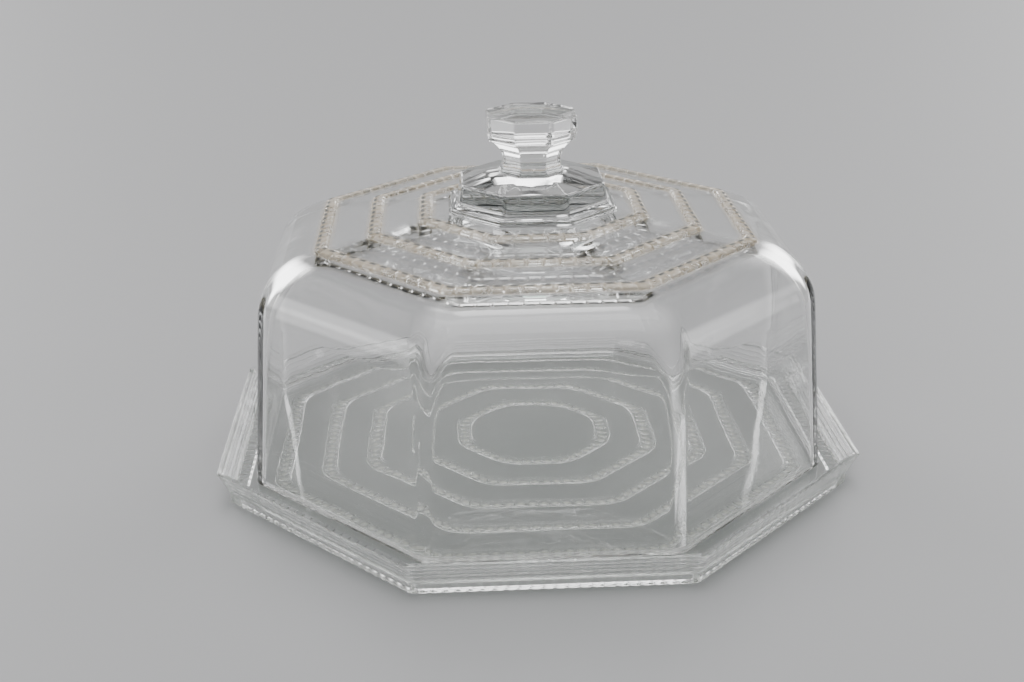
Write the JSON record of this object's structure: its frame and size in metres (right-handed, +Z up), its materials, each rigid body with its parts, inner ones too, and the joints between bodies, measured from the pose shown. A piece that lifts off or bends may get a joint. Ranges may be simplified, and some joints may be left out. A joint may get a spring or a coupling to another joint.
{
  "type": "cake stand dome",
  "caption": "Clear pressed-glass cake cover with an octagonal knob and beaded crown, lifting off a low octagonal glass tray with a ridged, flared rim.",
  "frame": {"origin": "middle of the plane that the tray stands on", "axes": "+Z up along the middle of the tray, cover and knob; flat sides of the octagons face +X, -X, +Y and -Y"},
  "size_m": [0.285, 0.285, 0.1595],
  "materials": {
    "tray_glass": "clear pressed soda-lime glass with a faint grey-green edge",
    "cover_glass": "clear fire-polished pressed glass with a faint grey-green edge",
    "knob_glass": "clear fire-polished solid glass"
  },
  "bodies": {
    "tray": {"serving_tray": "tray_glass"},
    "cover": {"dome_cover": "cover_glass", "knob": "knob_glass"}
  },
  "joints": [
    {"name": "cover_lift", "type": "slide", "parent": "tray", "child": "cover", "axis": [0, 0, 1], "range_m": [0, 0.15]}
  ]
}
